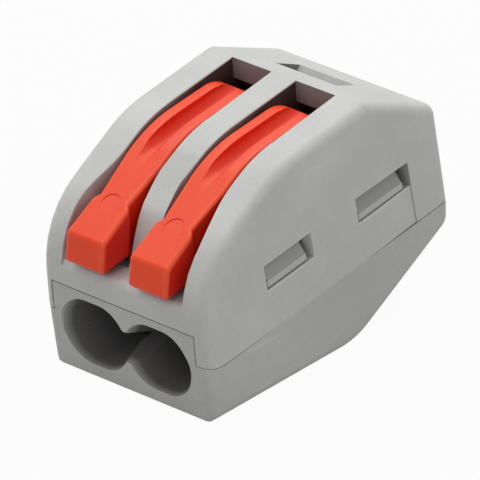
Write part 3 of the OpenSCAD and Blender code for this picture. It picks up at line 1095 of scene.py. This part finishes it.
@dataclass
class Lever:
    """One lever with its pad, groove and moulding mark."""

    side: Side
    effects: SurfaceEffects
    finish: MouldedPlastic
    pitch: float = 5.0 * MM
    width: float = 2.89 * MM
    flare: float = 0.07 * MM
    flank_depth: float = 0.34 * MM
    slack: float = 0.01 * MM
    groove_radius: float = 0.62 * MM
    pad_mark_y: float = -7.99 * MM
    mark_radius: float = 0.66 * MM
    mark_margin: float = 0.1 * MM
    edge_width: float = 0.25 * MM
    groove_width: float = 0.06 * MM

    @property
    def middle_x(self) -> float:
        """Place of the pole across the housing."""
        return self.side.value * self.pitch / 2

    def on_flank(self, edge: Edge) -> bool:
        """True for an edge between the lever's flanks and its top, tip and underside."""
        offs = [abs(v.co.x - self.middle_x) - self.width / 2 for v in edge.verts]
        return min(offs) > -self.flank_depth and max(offs) < self.flare + self.slack

    def on_groove(self, edge: Edge) -> bool:
        """True for an edge of the groove's rim.

        Args:
            edge: An edge of the lever.

        Returns:
            Whether the edge lies within the groove's width and behind the round mark.
        """
        offs = [abs(v.co.x - self.middle_x) for v in edge.verts]
        mark_end = self.pad_mark_y + self.mark_radius + self.mark_margin
        behind = min(v.co.y for v in edge.verts) > mark_end
        return max(offs) < self.groove_radius + self.slack and behind

    def make(self) -> Piece:
        """Builds the lever.

        Returns:
            The finished piece.
        """
        node = f"lever_{self.side.word}"
        piece = merged_copy(node, f"{node}_moulding")
        out = looking_out(piece)
        flanks = round_edges(piece, self.edge_width, lambda e: out(e) and self.on_flank(e))
        rims = round_edges(piece, self.groove_width, lambda e: out(e) and self.on_groove(e))
        smooth_by_angle(piece, CORNER_ANGLE)
        dress(piece, self.finish.material(self.effects))
        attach(piece, node)
        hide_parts(node)
        log.info("%s: %d flank edges and %d groove edges rounded", piece.name, flanks, rims)
        return piece


@dataclass
class ClampSpring:
    """Bent strip that presses a wire to the busbar; the real strip gives way under the lever's
    nose, but this piece keeps its rest shape.
    """

    side: Side
    effects: SurfaceEffects
    finish: SheetMetal
    leg_height: float = 5.59 * MM
    pressed_share: float = 0.68
    bend_angle: float = math.radians(30)

    def make(self) -> Piece:
        """Builds the spring.

        Returns:
            The finished piece.
        """
        node = f"clamp_spring_{self.side.word}"
        piece = merged_copy(node, f"{node}_strip")
        smooth_by_angle(piece, self.bend_angle)
        dress(piece, self.finish.material(self.effects))
        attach(piece, "housing")
        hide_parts(node)
        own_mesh(piece)
        return piece


@dataclass
class Busbar:
    """Plate that joins the two poles."""

    effects: SurfaceEffects
    finish: SheetMetal

    def make(self) -> Piece:
        """Dresses the plate's solid.

        Returns:
            The plate.
        """
        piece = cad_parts["busbar"]
        dress(piece, self.finish.material(self.effects))
        return piece


@dataclass
class Studio:
    """Floor, lights, sky and camera."""

    azimuth: float = math.radians(45.458)
    elevation: float = math.radians(28.138)
    roll: float = math.radians(-4.175)
    target: Place = (0.2512 * MM, -0.6362 * MM, 6.0008 * MM)
    distance: float = 478.79 * MM
    lens: float = 626.25
    sensor: float = 36.0
    nearest: float = 0.01
    farthest: float = 20.0
    fill: float = 0.72
    key_power: float = 1.1
    key_place: Place = (-0.16, 0.08, 0.40)
    key_size: float = 0.34
    side_power: float = 0.1
    side_place: Place = (0.26, 0.16, 0.10)
    side_size: float = 0.16
    lamp_aim: Place = (0.0, 0.0, 6 * MM)
    floor_size: float = 1.6
    floor_tone: Colour = (0.45, 0.45, 0.45, 1.0)
    floor_roughness: float = 0.9
    floor_light: float = 0.95

    def sky(self) -> None:
        """Lights the scene evenly and shows white to the camera and in reflections."""
        world = bpy.data.worlds.new("studio_sky")
        bpy.context.scene.world = world
        world.use_nodes = True
        graph = Graph(world.node_tree)
        lit = graph.find("BACKGROUND")
        strength = graph.spread(graph.seen(), 0.0, 1.0, self.fill, 1.0)
        graph.feed(lit.inputs["Strength"], strength)
        lit.inputs["Color"].default_value = WHITE

    def floor(self) -> None:
        """Lays the pale floor, which keeps the object's shadow."""
        bpy.ops.object.select_all(action="DESELECT")
        bpy.ops.mesh.primitive_plane_add(size=self.floor_size, location=(0, 0, 0))
        plane = bpy.context.view_layer.objects.active
        plane.name = "studio_floor"
        material, graph, shader = open_material("studio_floor")
        shader.inputs["Base Color"].default_value = self.floor_tone
        shader.inputs["Roughness"].default_value = self.floor_roughness
        shader.inputs["Specular IOR Level"].default_value = 0.0
        share = graph.math("MULTIPLY", graph.seen(), self.floor_light)
        white = graph.add("ShaderNodeEmission").outputs["Emission"]
        wired = {0: share, 1: shader.outputs["BSDF"], 2: white}
        both = graph.add("ShaderNodeMixShader", wired)
        out = graph.find("OUTPUT_MATERIAL")
        graph.feed(out.inputs["Surface"], both.outputs["Shader"])
        plane.data.materials.append(material)

    def lamp(self, name: str, place: Place, size: float, power: float) -> None:
        """Hangs a soft square lamp that looks at the object.

        Args:
            name: Name of the lamp.
            place: Its place.
            size: Length of its sides.
            power: Its power in watts.
        """
        bpy.ops.object.select_all(action="DESELECT")
        bpy.ops.object.light_add(type="AREA", location=place)
        lamp = bpy.context.view_layer.objects.active
        lamp.name = name
        lamp.data.shape = "SQUARE"
        lamp.data.size = size
        lamp.data.energy = power
        aim = Vector(self.lamp_aim) - Vector(place)
        lamp.rotation_euler = aim.to_track_quat("-Z", "Y").to_euler()

    def camera(self) -> None:
        """Places the camera where the photograph was taken from."""
        back = Vector((
            math.sin(self.azimuth) * math.cos(self.elevation),
            -math.cos(self.azimuth) * math.cos(self.elevation),
            math.sin(self.elevation),
        ))
        level = Vector((math.cos(self.azimuth), math.sin(self.azimuth), 0))
        rise = back.cross(level)
        right = math.cos(self.roll) * level + math.sin(self.roll) * rise
        up = back.cross(right)
        place = Vector(self.target) + self.distance * back
        bpy.ops.object.camera_add()
        camera = bpy.context.view_layer.objects.active
        camera.name = "photo_camera"
        camera.matrix_world = Matrix((
            (right.x, up.x, back.x, place.x),
            (right.y, up.y, back.y, place.y),
            (right.z, up.z, back.z, place.z),
            (0, 0, 0, 1),
        ))
        camera.data.sensor_width = self.sensor
        camera.data.lens = self.lens
        camera.data.clip_start = self.nearest
        camera.data.clip_end = self.farthest
        bpy.context.scene.camera = camera

    def make(self) -> None:
        """Sets up the whole studio."""
        bpy.context.scene.view_settings.view_transform = "Standard"
        self.camera()
        self.sky()
        self.floor()
        self.lamp("key_lamp", self.key_place, self.key_size, self.key_power)
        self.lamp("side_lamp", self.side_place, self.side_size, self.side_power)
        log.info("studio: camera, sky, floor and lamps set")


GREY_COVER = MouldedPlastic(
    name="grey_plastic_cover",
    deep=tone(178, 179, 176),
    pale=tone(188, 189, 186),
    scuffed=tone(204, 205, 202),
    # Lighter rounded edges: partly wear, partly painted highlight.
    worn_and_highlit=tone(206, 207, 204),
    # Painted shade in the slots, tinted red in place of light bounced off the levers.
    painted_shade_colour=tone(58, 45, 42),
    smoothest=0.46,
    roughest=0.60,
    shade_closed=0.62,
    shade_front=-9.5 * MM,
    shade_back=1.0 * MM,
)
GREY_BASE = MouldedPlastic(
    name="grey_plastic_base",
    deep=tone(168, 169, 166),
    pale=tone(178, 179, 176),
    scuffed=tone(202, 203, 200),
    # Lighter rounded edges: partly wear, partly painted highlight.
    worn_and_highlit=tone(202, 203, 200),
    # Painted shade deep in the wire mouths, fading in behind the front face.
    painted_shade_colour=tone(92, 90, 89),
    smoothest=0.48,
    roughest=0.62,
    shade_open=0.2,
    shade_closed=0.42,
    shade_front=-10.15 * MM,
    shade_back=-9.4 * MM,
)
ORANGE_LEVER = MouldedPlastic(
    name="orange_plastic_lever",
    deep=tone(225, 61, 17),
    pale=tone(232, 69, 24),
    scuffed=tone(243, 104, 70),
    # Lighter rounded edges: partly wear, partly painted highlight.
    worn_and_highlit=tone(246, 104, 72),
    # Painted shade on flanks and groove, a deeper red in place of light bounced between red faces.
    painted_shade_colour=tone(214, 32, 10),
    smoothest=0.34,
    roughest=0.48,
    gloss=0.32,
    shade_open=0.18,
    shade_closed=0.6,
    scuff_share=0.2,
)
SPRING_STEEL = SheetMetal(
    name="spring_steel",
    deep=tone(176, 178, 180),
    pale=tone(200, 201, 203),
    smoothest=0.24,
    roughest=0.38,
    lay=Lay.ALONG,
)
TINNED_COPPER = SheetMetal(
    name="tinned_copper",
    deep=tone(190, 184, 172),
    pale=tone(214, 208, 196),
    smoothest=0.30,
    roughest=0.46,
    lay=Lay.ACROSS,
)


def main() -> None:
    """Builds the studio and every sub-assembly, and reports the pieces."""
    logging.basicConfig(level=logging.INFO, format="%(name)s %(message)s")
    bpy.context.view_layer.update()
    Studio().make()
    effects = SurfaceEffects()
    housing = Housing(effects, GREY_COVER, GREY_BASE)
    halves = housing.make()
    levers = [Lever(side, effects, ORANGE_LEVER).make() for side in Side]
    busbar = Busbar(effects, TINNED_COPPER).make()
    springs = [ClampSpring(side, effects, SPRING_STEEL).make() for side in Side]
    # Painted shade: every face gets the share of open space that the parts around it cover.
    mark_painted_shade(halves, halves)
    mark_painted_shade(levers, levers + halves)
    housing.clear_painted_shade(halves[0])
    housing.clear_block(halves[1])
    for piece in [*halves, *levers, busbar, *springs]:
        log.info("%s: %d faces", piece.name, len(piece.data.polygons))


if __name__ == "__main__":
    main()
